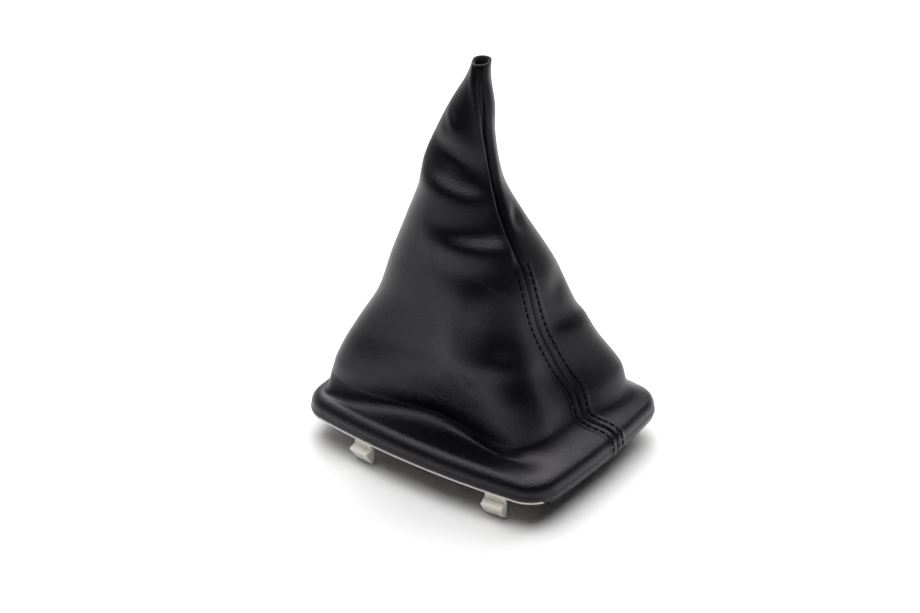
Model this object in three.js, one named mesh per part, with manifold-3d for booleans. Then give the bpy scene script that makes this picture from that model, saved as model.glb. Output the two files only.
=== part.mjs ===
// Gear lever gaiter for a car's centre console.
//
// A black leatherette boot is stretched over a moulded clip frame. The frame is a ring with an
// upright wall, a flange on top and four snap clips below. The boot wraps over the frame, dips
// behind it and rises to a small open tip that grips the gear lever. One seam with two rows of
// topstitching runs up the short side at +X.
//
// Millimetres, +Z up. The clip tips stand at z = 0 and the origin is under the middle of the frame.

import * as THREE from 'three';
import { mergeVertices } from 'three/addons/utils/BufferGeometryUtils.js';
import Module from 'manifold-3d';

const wasm = await Module();
wasm.setup();

// Plan of the gaiter, measured over the leather
const length = 150;
const width = 119.6;
const sideRadius = 457;
const cornerRadius = 16;

// Leatherette and the gap it keeps to the frame. Over the flange the gap is wider by flangeGap.
const leather = 1.2;
const clearance = 0.3;

// Clip frame
const clipDrop = 13;
const wallHeight = 9.3;
const wallThickness = 2;
const flangeWidth = 5;
const flangeThickness = 2;
const flangeGap = 0.15;
const lipThickness = 1.3;
const clipWidth = 11;
const clipThickness = 2;
const clipNeck = 3.6;
const barbReach = 3.8;
const barbSlope = 1.4;
const barbFace = 0.8;
const clipTipWidth = 1.2;
const clipNearSeam = 48;
const clipFarFromSeam = -31;

// Cover: rim, hem and boot
const rimCurve = 6.2;
const wallBulge = 0.5;
const hemTurn = 1.7;
const hemWidth = 8;
const hemEnd = 44;
const valleySlope = 0.02;
const valleyRun = 1.2;
const valleyLift = 1;
const valleyLeast = 12;
const footRise = 10.2;
const frontDrop = 5.5;
const frontDropEnd = 12;
const frontCrease = 1;
const footInsetX = 9;
const footInsetY = 11.8;
const bootHeight = 165.8;
const tipRadius = 5.2;
const tipStretch = 0.16;

// At the seamed end the crest stops short of flat, by an angle in radians that grows along X, so
// that the rim runs up into the boot without a valley.
const shoulderTilt = 0.62;
const shoulderStart = 40;
const shoulderEnd = 66;

// Seam on the short side at +X. Up to topstitchRise above the boot's foot it has a topstitched
// allowance on each side of its groove, and above that a deep pleat.
const seamPlace = 8;
const grooveDepth = 0.9;
const grooveWidth = 1.3;
const allowance = 7.5;
const allowanceRise = 0.6;
const allowanceEdge = 2;
const allowanceFade = 1;
const topstitchOffset = 4.2;
const topstitchRise = 74;
const topstitchUp = (100 * topstitchRise) / bootHeight;
const threadDiameter = 0.7;
const threadSides = 6;
const threadSteps = 64;
const pleatWidth = 2.2;
const pleatLip = 1;
const pleatLipPlace = 3.5;
const pleatDepth = [[topstitchUp, 0], [topstitchUp + 10, 2.2], [70, 4.2], [85, 3.4], [94, 1], [100, 0.3]];

// Outer sections of the boot. Each gives how far up the boot it lies in percent, how far its middle
// leans towards -X and -Y, its taper along X and along Y (1 is the foot's size, 0 the tip's) and how
// square it is (2 is an ellipse).
const sections = [
  { up: 0, lean: 3.5, taperX: 1, taperY: 1, square: 7 },
  { up: 5, lean: 3.2, taperX: 0.966, taperY: 0.999, square: 6 },
  { up: 16, lean: 3.4, taperX: 0.827, taperY: 0.81, square: 4.5 },
  { up: 27, lean: 3.5, taperX: 0.669, taperY: 0.716, square: 3.4 },
  { up: 40, lean: 5, taperX: 0.543, taperY: 0.612, square: 2.8 },
  { up: 53, lean: 7.8, taperX: 0.376, taperY: 0.471, square: 2.3 },
  { up: 63, lean: 9.3, taperX: 0.258, taperY: 0.347, square: 2 },
  { up: 71, lean: 9.8, taperX: 0.211, taperY: 0.268, square: 2 },
  { up: 80, lean: 7.7, taperX: 0.141, taperY: 0.19, square: 2 },
  { up: 87, lean: 4.8, taperX: 0.095, taperY: 0.121, square: 2 },
  { up: 95, lean: 1.9, taperX: 0.022, taperY: 0.053, square: 2 },
  { up: 100, lean: 0.3, taperX: 0, taperY: 0, square: 2 },
];
const leanDirection = new THREE.Vector2(-0.8, -0.6);

// How far the long side at -Y sags inward, by percent up the boot, and what share of that each
// direction from +X takes, in degrees
const frontSag = [[0, 19], [5, 17], [10, 12.5], [16, 9], [27, 5], [40, 2.5], [60, 0], [100, 0]];
const frontSagSpread = [
  [-180, 0], [-155, 0.05], [-135, 0.36], [-115, 0.66], [-75, 0.82], [-51, 0.84], [-37, 0.6],
  [-22, 0.15], [0, 0], [180, 0],
];

// How far the seamed end at +X sags inward, by percent up the boot. The sag is deepest at endSagTurn
// from the seam and fades with endSagReach, both in radians.
const endSag = [[0, 5], [5, 8], [12, 10], [20, 8], [32, 3], [45, 0], [100, 0]];
const endSagTurn = -0.12;
const endSagReach = 0.42;

// The seam's direction from the boot's middle, in degrees from +X, by percent up the boot
const seamTurn = [
  [0, 2], [7, 3.4], [16, -1.8], [28, -9.4], [40, -11.6], [55, -7.3], [70, 0], [79, -6.6], [88, -24.4],
  [100, -59],
];

// Folds of the boot's outer face. Each runs smoothly through points given as degrees from the seam,
// percent up the boot and rise. A roll is a ridge, or a crease where its rise is negative. A step
// stands out below its path and sinks above it, like a slack fold that hangs over.
const foldSteps = 16;
const stepReach = 2.4;
const folds = [
  { kind: 'roll', width: 2.5, path: [[-122, 87, 0], [-84, 84.5, 0.9], [-60, 80, 0]] },
  {
    kind: 'step',
    width: 7,
    path: [[-145, 70.5, 0], [-112, 69.5, 1.6], [-70, 67.5, 2.3], [-40, 65.5, 2.2], [-4, 64, 0]],
  },
  { kind: 'roll', width: 6, path: [[-150, 77, 0], [-95, 75.5, -2.2], [-60, 73.5, -2.6], [-8, 68.5, 0]] },
  {
    kind: 'step',
    width: 7,
    path: [[-100, 54, 0], [-66, 53, 1.4], [-42, 52.5, 2], [-20, 52, 1.7], [-1, 52, 0]],
  },
  { kind: 'roll', width: 8, path: [[-84, 45, 0], [-50, 43.5, -1.4], [-30, 44.5, -1.4], [-10, 46, 0]] },
  {
    kind: 'roll',
    width: 8,
    path: [[-74, 9, 0], [-68, 16, 1.4], [-57, 25, 1.9], [-43, 33, 1.6], [-30, 40, 0]],
  },
  { kind: 'roll', width: 6, path: [[-62, 11, 0], [-40, 15, 2.1], [-18, 18, 0]] },
  { kind: 'roll', width: 7, path: [[-52, 22, 0], [-36, 25, -0.5], [-20, 28, 0]] },
  {
    kind: 'step',
    width: 5,
    path: [[5, 23, 0], [22, 23.5, 0.6], [45, 23, 0.6], [70, 22, 0.3], [100, 21, 0]],
  },
  { kind: 'roll', width: 6, path: [[14, 33, 0], [30, 35, -0.9], [48, 38, 0]] },
  { kind: 'roll', width: 4, path: [[12, 52, 0], [20, 55, -1.2], [30, 59, 0]] },
  { kind: 'roll', width: 6, path: [[66, 64, 0], [95, 63, -2.4], [124, 60, 0]] },
  { kind: 'roll', width: 7, path: [[70, 58.5, 0], [100, 56, 2], [130, 53, 0]] },
  { kind: 'roll', width: 9, path: [[84, 37.5, 0], [115, 30, -2.6], [140, 19.5, 0]] },
  { kind: 'roll', width: 7, path: [[156, 52, 0], [178, 50, -2.4], [200, 47, 0]] },
  { kind: 'roll', width: 9, path: [[160, 30, 0], [182, 28.5, 2], [205, 26.5, 0]] },
  { kind: 'roll', width: 8, path: [[160, 19.5, 0], [178, 17.5, -2], [196, 15.5, 0]] },
];

// Returns a function that runs smoothly through pairs of place and value.
function through(pairs) {
  const slope = (i) => {
    const a = pairs[Math.max(i - 1, 0)];
    const b = pairs[Math.min(i + 1, pairs.length - 1)];
    return (b[1] - a[1]) / (b[0] - a[0]);
  };
  return (at) => {
    let i = 0;
    while (i < pairs.length - 2 && at > pairs[i + 1][0]) i += 1;
    const [x0, y0] = pairs[i];
    const [x1, y1] = pairs[i + 1];
    const span = x1 - x0;
    const t = THREE.MathUtils.clamp((at - x0) / span, 0, 1);
    const t2 = t * t;
    const t3 = t2 * t;
    return (2 * t3 - 3 * t2 + 1) * y0 + (t3 - 2 * t2 + t) * span * slope(i)
      + (3 * t2 - 2 * t3) * y1 + (t3 - t2) * span * slope(i + 1);
  };
}

const footLength = length / 2 - footInsetX;
const footWidth = width / 2 - footInsetY;
const leanAt = through(sections.map((s) => [s.up, s.lean]));
const halfLengthAt = through(sections.map((s) => [s.up, tipRadius + (footLength - tipRadius) * s.taperX]));
const halfWidthAt = through(sections.map((s) => [s.up, tipRadius + (footWidth - tipRadius) * s.taperY]));
const squarenessAt = through(sections.map((s) => [s.up, s.square]));
const frontSagAt = through(frontSag);
const frontSpreadAt = through(frontSagSpread);
const endSagAt = through(endSag);
const seamTurnAt = through(seamTurn);
const pleatDepthAt = through(pleatDepth);

// The plan outline is four long side arcs joined by four corner arcs that meet them smoothly.
function makeOutline() {
  const longCentre = width / 2 - sideRadius;
  const shortCentre = length / 2 - sideRadius;
  const apart = Math.hypot(longCentre, shortCentre);
  const reach = sideRadius - cornerRadius;
  const middle = new THREE.Vector2(shortCentre / 2, longCentre / 2);
  const across = new THREE.Vector2(-longCentre, -shortCentre).divideScalar(apart);
  const corner = middle.addScaledVector(across, Math.sqrt(reach ** 2 - (apart / 2) ** 2));
  const longEnd = Math.atan2(corner.x, corner.y - longCentre);
  const shortEnd = Math.atan2(corner.y, corner.x - shortCentre);
  const quarter = Math.PI / 2;
  const arcs = [];
  for (const turn of [0, 1, 2, 3]) {
    const onShort = turn % 2 === 0;
    const face = turn * quarter;
    const half = onShort ? shortEnd : longEnd;
    const next = onShort ? longEnd : shortEnd;
    const away = onShort ? shortCentre : longCentre;
    const sideCentre = new THREE.Vector2(away * Math.cos(face), away * Math.sin(face));
    const signX = turn === 0 || turn === 3 ? 1 : -1;
    const signY = turn < 2 ? 1 : -1;
    const cornerCentre = new THREE.Vector2(corner.x * signX, corner.y * signY);
    arcs.push({ centre: sideCentre, radius: sideRadius, from: face - half, to: face + half });
    arcs.push({ centre: cornerCentre, radius: cornerRadius, from: face + half, to: face + quarter - next });
  }
  for (const arc of arcs) arc.length = arc.radius * (arc.to - arc.from);
  return arcs;
}

const outline = makeOutline();
const perimeter = outline.reduce((sum, arc) => sum + arc.length, 0);

// Gives the outline's point and outward direction at a distance along it, counterclockwise from the
// middle of the short side at +X.
function outlineAt(distance) {
  let rest = THREE.MathUtils.euclideanModulo(distance + outline[0].length / 2, perimeter);
  let i = 0;
  while (i < outline.length - 1 && rest > outline[i].length) {
    rest -= outline[i].length;
    i += 1;
  }
  const arc = outline[i];
  const angle = arc.from + rest / arc.radius;
  const outward = new THREE.Vector2(Math.cos(angle), Math.sin(angle));
  return { point: arc.centre.clone().addScaledVector(outward, arc.radius), outward };
}

// The angle above the horizontal that the rim's face has turned to where the crest ends
function crestTilt(point) {
  return Math.PI / 2 - shoulderTilt * THREE.MathUtils.smoothstep(point.x, shoulderStart, shoulderEnd);
}

// The rim of the cover's outer face in section, from the hem's edge under the frame, round the turn,
// up the wall and over the crest to the tilt where it ends. Gives how far in from the outline it
// lies, its height and the angle of its outward direction above the horizontal.
const hemLevel = clipDrop - clearance - leather;
const crestLevel = clipDrop + wallHeight + clearance + leather;
const hemRun = hemWidth - hemTurn;
const turnRun = hemTurn * Math.PI / 2;
const wallRun = crestLevel - rimCurve - hemLevel - hemTurn;
const crestRun = rimCurve * Math.PI / 2;
const rimRun = hemRun + turnRun + wallRun + crestRun;

function rimSection(run, end) {
  if (run < hemRun) {
    return { inset: hemWidth - run, z: hemLevel, tilt: -Math.PI / 2 };
  }
  if (run < hemRun + turnRun) {
    const tilt = (run - hemRun) / hemTurn - Math.PI / 2;
    return {
      inset: hemTurn * (1 - Math.cos(tilt)),
      z: hemLevel + hemTurn * (1 + Math.sin(tilt)),
      tilt,
    };
  }
  if (run < hemRun + turnRun + wallRun) {
    const up = run - hemRun - turnRun;
    const phase = Math.PI * up / wallRun;
    const slope = wallBulge * Math.sin(2 * phase) * Math.PI / wallRun;
    return { inset: -wallBulge * Math.sin(phase) ** 2, z: hemLevel + hemTurn + up, tilt: -Math.atan(slope) };
  }
  const tilt = (end * (run - hemRun - turnRun - wallRun)) / crestRun;
  return { inset: rimCurve * (1 - Math.cos(tilt)), z: crestLevel - rimCurve * (1 - Math.sin(tilt)), tilt };
}

// Columns run from the hem to the tip. Each is named by its distance along the outline from the
// seam. On the boot a column has a direction from the seam, which spreads towards the tip so that
// the pleat beside the seam keeps enough points.
const seamAngle = Math.atan2(seamPlace, length / 2);

function outlineDirection(distance) {
  const { point } = outlineAt(distance + seamPlace);
  const turn = Math.atan2(point.y, point.x) - seamAngle;
  if (distance > 0 && turn < -Math.PI / 2) return turn + 2 * Math.PI;
  if (distance < 0 && turn > Math.PI / 2) return turn - 2 * Math.PI;
  return turn;
}

const fanStart = 47;
const fanEnd = 94;

function columnTurn(distance, up) {
  const share = Math.abs(distance) / (perimeter / 2);
  const fan = Math.sign(distance) * Math.PI * Math.sqrt(share);
  return THREE.MathUtils.lerp(outlineDirection(distance), fan, THREE.MathUtils.smoothstep(up, fanStart, fanEnd));
}

// Distance from the boot's middle to its outer face, before folds. The last stretch is drawn out
// towards the seam, so that the tip is an oval.
const stretchStart = 82;

function frontSpread(angle) {
  return frontSpreadAt(THREE.MathUtils.euclideanModulo(THREE.MathUtils.radToDeg(angle) + 180, 360) - 180);
}

function bootRadius(turn, up) {
  const angle = THREE.MathUtils.degToRad(seamTurnAt(up)) + turn;
  const power = squarenessAt(up);
  const alongX = Math.abs(Math.cos(angle)) / halfLengthAt(up);
  const alongY = Math.abs(Math.sin(angle)) / halfWidthAt(up);
  const stretch = 1 + tipStretch * THREE.MathUtils.smoothstep(up, stretchStart, 100) * Math.cos(2 * turn);
  const endFade = Math.exp(-(((turn - endSagTurn) / endSagReach) ** 2));
  const sag = frontSagAt(up) * frontSpread(angle) + endSagAt(up) * endFade;
  return stretch * (alongX ** power + alongY ** power) ** (-1 / power) - sag;
}

function bootPoint(turn, up) {
  const angle = THREE.MathUtils.degToRad(seamTurnAt(up)) + turn;
  const radius = bootRadius(turn, up);
  const lean = leanAt(up);
  const drop = frontDrop * frontSpread(angle) * (1 - THREE.MathUtils.smoothstep(up, 0, frontDropEnd));
  return new THREE.Vector3(
    leanDirection.x * lean + radius * Math.cos(angle),
    leanDirection.y * lean + radius * Math.sin(angle),
    crestLevel + footRise + (bootHeight * up) / 100 - drop,
  );
}

// Percent up the boot at a level, where levels 2 to 3 are the boot and lower ones count as its foot
function upAt(level) {
  return 100 * Math.max(level - 2, 0);
}

// The cover's outer face without folds or seam. Level 0 to 1 is the rim, 1 to 2 the valley behind
// it and 2 to 3 the boot.
function smoothPoint(distance, level) {
  if (level >= 2) return bootPoint(columnTurn(distance, upAt(level)), upAt(level));
  const { point, outward } = outlineAt(distance + seamPlace);
  const end = crestTilt(point);
  const { inset, z } = rimSection(Math.min(level, 1) * rimRun, end);
  const crest = new THREE.Vector3(point.x - outward.x * inset, point.y - outward.y * inset, z);
  if (level <= 1) return crest;
  const t = level - 1;
  const foot = bootPoint(columnTurn(distance, 0), 0);
  const rise = bootPoint(columnTurn(distance, 1), 1).sub(foot).normalize();
  const inward = new THREE.Vector3(foot.x - crest.x, foot.y - crest.y, 0);
  const span = inward.length();
  rise.addScaledVector(inward, (frontCrease * frontSpread(Math.atan2(foot.y, foot.x))) / span).normalize();
  rise.multiplyScalar(valleyLift * Math.max(crest.distanceTo(foot), valleyLeast));
  const flat = -Math.sin(end);
  const run = new THREE.Vector3(outward.x * flat, outward.y * flat, Math.cos(end) - valleySlope);
  run.multiplyScalar(valleyRun * span);
  return new THREE.Vector3()
    .addScaledVector(crest, 2 * t ** 3 - 3 * t ** 2 + 1)
    .addScaledVector(run, t ** 3 - 2 * t ** 2 + t)
    .addScaledVector(foot, 3 * t ** 2 - 2 * t ** 3)
    .addScaledVector(rise, t ** 3 - t ** 2);
}

// Distance from the seam across the leather's face
function seamDistance(distance, level) {
  if (level <= 1) return distance;
  const up = upAt(level);
  const onBoot = columnTurn(distance, up) * bootRadius(0, up);
  return THREE.MathUtils.lerp(distance, onBoot, Math.min(level - 1, 1));
}

// The folds laid out flat, in millimetres round the boot and up it
for (const fold of folds) {
  const [degrees, up] = fold.path[Math.floor(fold.path.length / 2)];
  fold.radius = bootRadius(THREE.MathUtils.degToRad(degrees), up);
  const [turnAt, upPathAt, riseAt] = [0, 1, 2].map((part) => (
    through(fold.path.map((stop, i) => [i / (fold.path.length - 1), stop[part]]))
  ));
  fold.points = [];
  for (let i = 0; i < foldSteps; i += 1) {
    const share = i / (foldSteps - 1);
    const x = THREE.MathUtils.degToRad(turnAt(share)) * fold.radius;
    const y = (upPathAt(share) * bootHeight) / 100;
    fold.points.push({ place: new THREE.Vector2(x, y), rise: riseAt(share) });
  }
}

// The fold's rise and the signed distance to it, above it positive, from a point laid out flat
function nearestOnFold(fold, here) {
  let best = { distance: Infinity, rise: 0 };
  for (let i = 1; i < fold.points.length; i += 1) {
    const from = fold.points[i - 1];
    const stretch = fold.points[i].place.clone().sub(from.place);
    const offset = here.clone().sub(from.place);
    const share = THREE.MathUtils.clamp(offset.dot(stretch) / stretch.lengthSq(), 0, 1);
    const side = Math.sign(stretch.cross(offset)) || 1;
    const distance = side * offset.distanceTo(stretch.multiplyScalar(share));
    if (Math.abs(distance) < Math.abs(best.distance)) {
      best = { distance, rise: THREE.MathUtils.lerp(from.rise, fold.points[i].rise, share) };
    }
  }
  return best;
}

function foldRelief(turn, up) {
  let relief = 0;
  for (const fold of folds) {
    for (const wrap of [-2 * Math.PI, 0, 2 * Math.PI]) {
      const here = new THREE.Vector2((turn + wrap) * fold.radius, (up * bootHeight) / 100);
      const { distance, rise } = nearestOnFold(fold, here);
      const across = distance / fold.width;
      if (fold.kind === 'step') {
        relief -= ((2 * rise * across) / (1 + across ** 2)) * Math.exp(-((across / stepReach) ** 2));
      } else {
        relief += rise * Math.exp(-(across ** 2));
      }
    }
  }
  return relief;
}

// The pleat beside the upper seam: the left panel's rolled lip stands over a deep groove.
function pleatRelief(across, up) {
  const depth = up > topstitchUp ? pleatDepthAt(up) : 0;
  const groove = Math.exp(-((across / pleatWidth) ** 2));
  const lip = Math.exp(-(((across + pleatLipPlace) / pleatWidth) ** 2));
  return pleatLip * Math.min(depth, 1) * lip - depth * groove;
}

const sideStep = 0.4;
const levelStep = 0.004;

function rimNormal(distance, level) {
  const { point, outward } = outlineAt(distance + seamPlace);
  const { tilt } = rimSection(level * rimRun, crestTilt(point));
  return new THREE.Vector3(outward.x * Math.cos(tilt), outward.y * Math.cos(tilt), Math.sin(tilt));
}

function normalOf(face, distance, level) {
  if (level <= 1) return rimNormal(distance, level);
  const aside = face(distance + sideStep, level).sub(face(distance - sideStep, level));
  const above = face(distance, Math.min(level + levelStep, 3)).sub(face(distance, level - levelStep));
  return aside.cross(above).normalize();
}

// The leather's face with its folds and pleat, before the seam's relief
function shapedPoint(distance, level) {
  const point = smoothPoint(distance, level);
  if (level <= 1) return point;
  const up = upAt(level);
  const relief = foldRelief(columnTurn(distance, up), up) + pleatRelief(seamDistance(distance, level), up);
  return point.addScaledVector(normalOf(smoothPoint, distance, level), relief * Math.min(level - 1, 1));
}

function seamRelief(distance, level) {
  const across = seamDistance(distance, level);
  const stitched = 1 - THREE.MathUtils.smoothstep(upAt(level), topstitchUp, topstitchUp + allowanceFade);
  const band = 1 - THREE.MathUtils.smoothstep(Math.abs(across), allowance - allowanceEdge, allowance);
  return allowanceRise * stitched * band - grooveDepth * Math.exp(-((across / grooveWidth) ** 2));
}

function outerPoint(distance, level) {
  return shapedPoint(distance, level)
    .addScaledVector(normalOf(shapedPoint, distance, level), seamRelief(distance, level));
}

function innerPoint(distance, level) {
  return shapedPoint(distance, level).addScaledVector(normalOf(shapedPoint, distance, level), -leather);
}

// A ring of rows, each a closed loop of points, joined into a closed skin
function ringGeometry(rows) {
  const count = rows[0].length;
  const positions = rows.flat().flatMap((point) => point.toArray());
  const index = [];
  for (let r = 0; r < rows.length; r += 1) {
    const next = (r + 1) % rows.length;
    for (let c = 0; c < count; c += 1) {
      const beside = (c + 1) % count;
      const a = r * count + c;
      const b = r * count + beside;
      const d = next * count + c;
      const e = next * count + beside;
      index.push(a, b, e, a, e, d);
    }
  }
  const geometry = new THREE.BufferGeometry();
  geometry.setAttribute('position', new THREE.Float32BufferAttribute(positions, 3));
  geometry.setIndex(index);
  return geometry;
}

function toSolid(geometry) {
  const bare = geometry.clone();
  bare.deleteAttribute('normal');
  bare.deleteAttribute('uv');
  const merged = mergeVertices(bare, 1e-4);
  return new wasm.Manifold(new wasm.Mesh({
    numProp: 3,
    vertProperties: new Float32Array(merged.attributes.position.array),
    triVerts: new Uint32Array(merged.index.array),
  }));
}

function toGeometry(solid) {
  const mesh = solid.getMesh();
  const geometry = new THREE.BufferGeometry();
  geometry.setAttribute('position', new THREE.BufferAttribute(new Float32Array(mesh.vertProperties), 3));
  geometry.setIndex(new THREE.BufferAttribute(new Uint32Array(mesh.triVerts), 1));
  return geometry;
}

function boxSolid(low, high) {
  const size = high.clone().sub(low);
  const box = new THREE.BoxGeometry(size.x, size.y, size.z);
  box.translate((low.x + high.x) / 2, (low.y + high.y) / 2, (low.z + high.z) / 2);
  return toSolid(box);
}

// Columns round the outline, closer on the corners so that the cover keeps its gap to the frame
const cornerColumns = 5;
const longSideColumns = 12;
const shortSideColumns = 9;

function outlineColumns() {
  const places = [];
  let start = -outline[0].length / 2;
  outline.forEach((arc, i) => {
    const isCorner = i % 2 === 1;
    const sideColumns = i % 4 === 0 ? shortSideColumns : longSideColumns;
    const count = isCorner ? cornerColumns : sideColumns;
    for (let step = 0; step < count; step += 1) places.push(start + (arc.length * step) / count);
    start += arc.length;
  });
  return places;
}

// Close columns on each side of the seam, by their distance from it
const seamColumns = [0, 1.3, 3, 4.2, 6.2, 8, 12, 17];
const seamColumnGap = 2;

function coverColumns() {
  const last = seamColumns[seamColumns.length - 1];
  const others = outlineColumns()
    .map((place) => place - seamPlace)
    .map((d) => (d > perimeter / 2 ? d - perimeter : d))
    .filter((d) => Math.abs(d) > last + seamColumnGap);
  const beside = seamColumns.flatMap((d) => (d > 0 ? [-d, d] : [d]));
  return [...others, ...beside].sort((a, b) => a - b);
}

// Rows over each stretch of the rim: hem, turn, wall and crest
const rimRows = [1, 2, 2, 4];

function rimLevels() {
  const stretches = [hemRun, turnRun, wallRun, crestRun];
  const runs = [0];
  stretches.forEach((stretch, i) => {
    const start = runs[runs.length - 1];
    for (let row = 1; row <= rimRows[i]; row += 1) runs.push(start + (stretch * row) / rimRows[i]);
  });
  return runs.map((run) => run / rimRun);
}

const bootRows = 28;
const valleyRows = 4;

function coverLevels() {
  const levels = rimLevels();
  for (let i = 1; i <= valleyRows; i += 1) levels.push(1 + i / valleyRows);
  for (let i = 1; i <= bootRows; i += 1) levels.push(2 + i / bootRows);
  return levels;
}

function gaiterCover() {
  const distances = coverColumns();
  const levels = coverLevels();
  const outer = levels.map((level) => distances.map((d) => outerPoint(d, level)));
  const boot = levels.length - bootRows;
  const innerLevels = levels.filter((level, i) => i < boot || (levels.length - 1 - i) % 2 === 0);
  const inner = innerLevels.map((level) => distances.map((d) => innerPoint(d, level))).reverse();
  let cover = toSolid(ringGeometry([...outer, ...inner]));
  const cutTop = clipDrop + lipThickness + clearance;
  for (const side of [-1, 1]) {
    const near = hemEnd * side;
    const far = width * side;
    cover = cover.subtract(boxSolid(
      new THREE.Vector3(-length, Math.min(near, far), 0),
      new THREE.Vector3(length, Math.max(near, far), cutTop),
    ));
  }
  return toGeometry(cover);
}

// The frame is a ring of one section, with a lip along each long side that the cover's edge meets.
const frameFace = leather + clearance;

function frameRing(section) {
  const rows = section.map(([inset, z]) => {
    return outlineColumns().map((place) => {
      const { point, outward } = outlineAt(place);
      return new THREE.Vector3(point.x - outward.x * inset, point.y - outward.y * inset, z);
    });
  });
  return toSolid(ringGeometry(rows));
}

// The frame's upper edge follows the crest in two flats that meet at this share of its radius.
const chamferShare = 0.3;

function frameBody() {
  const top = clipDrop + wallHeight - flangeGap;
  const inner = frameFace + wallThickness;
  const round = rimCurve - leather - clearance;
  const chamfer = chamferShare * round;
  return frameRing([
    [inner, clipDrop],
    [frameFace, clipDrop],
    [frameFace, top - round],
    [frameFace + chamfer, top - chamfer],
    [frameFace + round, top],
    [frameFace + flangeWidth, top],
    [frameFace + flangeWidth, top - flangeThickness],
    [inner, top - flangeThickness],
  ]);
}

function frameLip() {
  const ring = frameRing([
    [frameFace + wallThickness / 2, clipDrop],
    [0, clipDrop],
    [0, clipDrop + lipThickness],
    [frameFace + wallThickness / 2, clipDrop + lipThickness],
  ]);
  const reach = hemEnd + clearance;
  const keep = (from, to) => boxSolid(new THREE.Vector3(-length, from, 0), new THREE.Vector3(length, to, length));
  return ring.intersect(keep(-width, -reach)).add(ring.intersect(keep(reach, width)));
}

// A snap clip: a flat leg with a wedge-shaped barb that faces outward
function clip(place, side) {
  const face = frameFace + clearance;
  const shape = new THREE.Shape();
  const barbTop = clipDrop - clipNeck;
  shape.moveTo(-face - clipThickness, clipDrop + lipThickness / 2);
  shape.lineTo(-face - clipThickness, 0);
  shape.lineTo(-face - clipThickness + clipTipWidth, 0);
  shape.lineTo(-face + barbReach, barbTop - barbSlope - barbFace);
  shape.lineTo(-face + barbReach, barbTop - barbSlope);
  shape.lineTo(-face, barbTop);
  shape.lineTo(-face, clipDrop + lipThickness / 2);
  shape.closePath();
  const geometry = new THREE.ExtrudeGeometry(shape, { depth: clipWidth, bevelEnabled: false });
  geometry.translate(0, 0, -clipWidth / 2);
  geometry.rotateX(Math.PI / 2);
  const onSide = width / 2 - sideRadius + Math.sqrt(sideRadius ** 2 - place ** 2);
  const lean = Math.asin(place / sideRadius);
  geometry.rotateZ(side > 0 ? Math.PI / 2 - lean : lean - Math.PI / 2);
  geometry.translate(place, side * onSide, 0);
  return toSolid(geometry);
}

function clipFrame() {
  let frame = frameBody().add(frameLip());
  for (const side of [-1, 1]) {
    for (const place of [clipNearSeam, clipFarFromSeam]) frame = frame.add(clip(place, side));
  }
  return toGeometry(frame);
}

// One row of topstitching: a thread that lies along the leather at its distance from the seam,
// which is found in a few rounds because columns spread with height
const seamRounds = 6;

function topstitch(across) {
  const radius = threadDiameter / 2;
  const points = [];
  for (let i = 0; i <= threadSteps; i += 1) {
    const top = 2 + topstitchUp / 100;
    const low = (hemRun + turnRun) / rimRun;
    const level = THREE.MathUtils.lerp(low, top, i / threadSteps);
    let distance = across;
    for (let round = 0; round < seamRounds; round += 1) distance *= across / seamDistance(distance, level);
    const point = outerPoint(distance, level);
    points.push(point.addScaledVector(normalOf(shapedPoint, distance, level), clearance + radius));
  }
  const shape = new THREE.Shape();
  shape.absarc(0, 0, radius, 0, 2 * Math.PI);
  const path = new THREE.CatmullRomCurve3(points);
  return new THREE.ExtrudeGeometry(shape, {
    steps: threadSteps, curveSegments: threadSides / 2, bevelEnabled: false, extrudePath: path,
  });
}

const leatherette = new THREE.MeshStandardMaterial({ color: 0x1b1b1d, roughness: 0.5 });
const mouldedPlastic = new THREE.MeshStandardMaterial({ color: 0xe9e4da, roughness: 0.4 });
const sewingThread = new THREE.MeshStandardMaterial({ color: 0x111112, roughness: 0.7 });

function piece(name, geometry, material) {
  const mesh = new THREE.Mesh(geometry, material);
  mesh.name = name;
  return mesh;
}

const gaiter = new THREE.Group();
gaiter.add(piece('clip_frame', clipFrame(), mouldedPlastic));
gaiter.add(piece('gaiter_cover', gaiterCover(), leatherette));
gaiter.add(piece('topstitch_left', topstitch(-topstitchOffset), sewingThread));
gaiter.add(piece('topstitch_right', topstitch(topstitchOffset), sewingThread));

export default gaiter;
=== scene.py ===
"""Gear lever gaiter: a black leatherette boot stretched over a moulded clip frame.

The boot is one sewn sheet. It turns under the frame, runs up its wall, dips behind the crest and
rises to an open tip. Its folds, seam and stitches are modelled, and the leather grain, the knit
backing, the thread's twist and the plastic's skin come from procedural materials.
"""
import math
import bmesh
import bpy
import numpy as np
from mathutils import Matrix, Vector


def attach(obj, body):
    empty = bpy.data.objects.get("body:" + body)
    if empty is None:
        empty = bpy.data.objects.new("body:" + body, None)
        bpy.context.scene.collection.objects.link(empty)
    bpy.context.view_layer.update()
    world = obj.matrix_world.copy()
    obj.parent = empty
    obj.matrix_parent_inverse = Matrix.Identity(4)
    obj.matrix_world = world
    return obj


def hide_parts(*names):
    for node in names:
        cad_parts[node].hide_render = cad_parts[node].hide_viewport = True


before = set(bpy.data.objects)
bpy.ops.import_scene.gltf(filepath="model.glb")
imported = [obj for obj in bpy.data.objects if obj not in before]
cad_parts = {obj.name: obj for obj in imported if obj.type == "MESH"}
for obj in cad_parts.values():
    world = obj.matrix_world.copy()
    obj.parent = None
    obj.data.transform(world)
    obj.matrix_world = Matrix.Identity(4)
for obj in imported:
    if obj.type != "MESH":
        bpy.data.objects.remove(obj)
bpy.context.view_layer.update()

MM = 0.001

# Plan of the gaiter over the leather, in millimetres
LENGTH = 150
WIDTH = 119.6
SIDE_RADIUS = 457
CORNER_RADIUS = 16

# Leatherette and its gap to the frame
LEATHER = 1.2
CLEARANCE = 0.3

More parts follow.
